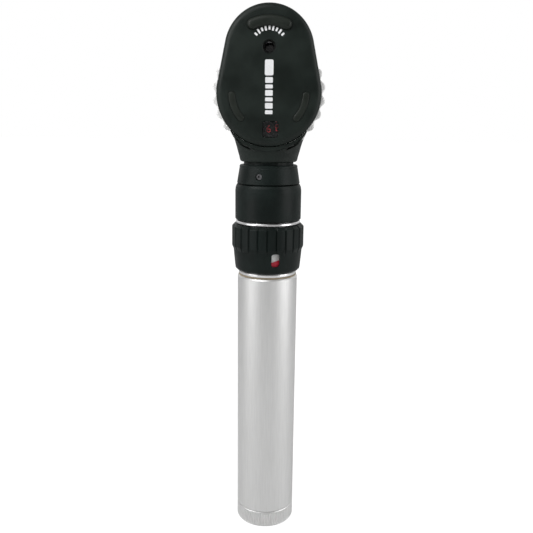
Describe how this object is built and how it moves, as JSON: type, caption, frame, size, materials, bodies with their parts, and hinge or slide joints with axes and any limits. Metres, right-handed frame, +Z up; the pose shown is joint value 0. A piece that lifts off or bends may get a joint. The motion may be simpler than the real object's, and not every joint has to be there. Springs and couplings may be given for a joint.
{
  "type": "ophthalmoscope",
  "caption": "Hand-held direct ophthalmoscope: slim battery handle with a turning brightness collar, and a screw-on head with a lens wheel, aperture dial, sight hole and brow pads.",
  "frame": {"origin": "centre of the end cap's flat underside, on the handle's axis", "axes": "+Z up along the handle towards the head; -Y is the practitioner's side, which carries the sight hole; +Y faces the patient"},
  "size_m": [0.036, 0.0275, 0.1829],
  "materials": {
    "satin_silver": "satin, fine lengthwise grain",
    "spring_steel": "drawn wire",
    "black_plastic": "matt",
    "cell_wrap": "printed sleeve; aluminium stands in for the cell's mean density",
    "seal_rubber": "dark brown seal",
    "bright_metal": "bright turned metal",
    "white_plastic": "smooth",
    "red_mark": "smooth",
    "brass_contact": "bright",
    "black_collar": "fine matt with worn rib edges",
    "dark_steel": "blackened",
    "clear_lens": "clear, polished",
    "head_plastic": "fine moulded grain, soft sheen",
    "pad_rubber": "soft, slightly glossy",
    "mirror_glass": "front-silvered",
    "wheel_white": "slightly see-through moulded plastic",
    "scale_black": "printed numbers",
    "dial_black": "serrated edge",
    "green_filter": "tinted"
  },
  "bodies": {
    "end_cap": {"end_cap": "satin_silver"},
    "spring_seat": {"battery_spring": "spring_steel"},
    "handle": {"battery_tube": "satin_silver", "tube_liner": "black_plastic", "battery_lower": "cell_wrap", "battery_upper": "cell_wrap", "tube_gasket": "seal_rubber", "tube_bezel": "bright_metal", "head_coupling": "bright_metal", "indicator_sleeve": "white_plastic", "indicator_band": "red_mark", "rheostat_track": "brass_contact", "battery_contact": "brass_contact", "contact_insulator": "white_plastic", "contact_spring": "spring_steel"},
    "control_collar": {"control_collar": "black_collar", "rheostat_wiper": "brass_contact"},
    "contact_pin": {"contact_pin": "brass_contact"},
    "head": {"head_sleeve": "black_collar", "neck_ring": "black_collar", "neck_grub_screw": "dark_steel", "lamp_base": "bright_metal", "lamp_bulb": "clear_lens", "lamp_insulator": "black_plastic", "lamp_tip": "brass_contact", "rear_cover": "head_plastic", "brow_pad_top": "pad_rubber", "brow_pad_left": "pad_rubber", "brow_pad_right": "pad_rubber", "readout_window": "clear_lens", "eyepiece_plate": "black_plastic", "front_housing": "head_plastic", "cover_screw_left": "dark_steel", "cover_screw_right": "dark_steel", "window_bezel": "black_plastic", "front_window": "clear_lens", "optic_chassis": "black_plastic", "condenser_lens": "clear_lens", "optic_tube": "black_plastic", "projection_lens": "clear_lens", "dial_axle": "dark_steel", "mirror": "mirror_glass", "mirror_bracket": "black_plastic", "sight_tube": "black_plastic", "wheel_axle": "dark_steel", "detent_ball": "dark_steel", "detent_spring": "spring_steel"},
    "base_collar": {"base_collar": "black_collar"},
    "lens_wheel": {"wheel_rim": "wheel_white", "lens_carrier": "black_plastic", "dioptre_scale": "scale_black", "lens_ring": "clear_lens"},
    "aperture_dial": {"aperture_dial": "dial_black", "red_free_filter": "green_filter"}
  },
  "joints": [
    {"name": "cap_turn", "type": "hinge", "parent": "end_cap", "child": "spring_seat", "pos_m": [0, 0, 0.006], "axis": [0, 0, 1], "range_deg": [0, 1446]},
    {"name": "cap_lift", "type": "slide", "parent": "spring_seat", "child": "handle", "axis": [0, 0, 1], "range_m": [0, 0.005], "deforming": ["battery_spring"]},
    {"name": "control_turn", "type": "hinge", "parent": "handle", "child": "control_collar", "pos_m": [0, 0, 0.104], "axis": [0, 0, 1], "range_deg": [-15, 105]},
    {"name": "contact_pin_slide", "type": "slide", "parent": "handle", "child": "contact_pin", "axis": [0, 0, 1], "range_m": [-0.0012, 0], "stiffness_N_per_m": 300, "springref_m": 0.0005, "deforming": ["contact_spring"]},
    {"name": "collar_turn", "type": "hinge", "parent": "head", "child": "base_collar", "pos_m": [0, 0, 0.12], "axis": [0, 0, 1], "range_deg": [0, 724]},
    {"name": "head_lift", "type": "slide", "parent": "handle", "child": "head", "axis": [0, 0, 1], "range_m": [0, 0.004]},
    {"name": "lens_wheel_spin", "type": "hinge", "parent": "head", "child": "lens_wheel", "pos_m": [0, -0.0072, 0.15565], "axis": [0, 1, 0], "continuous": true},
    {"name": "aperture_dial_spin", "type": "hinge", "parent": "head", "child": "aperture_dial", "pos_m": [0, 0.0056, 0.1491], "axis": [0, 0, 1], "continuous": true}
  ],
  "couplings": [
    {"joint": "cap_turn", "follows": "cap_lift", "rad_per_m": 5026.5},
    {"joint": "collar_turn", "follows": "head_lift", "rad_per_m": 3141.6}
  ]
}
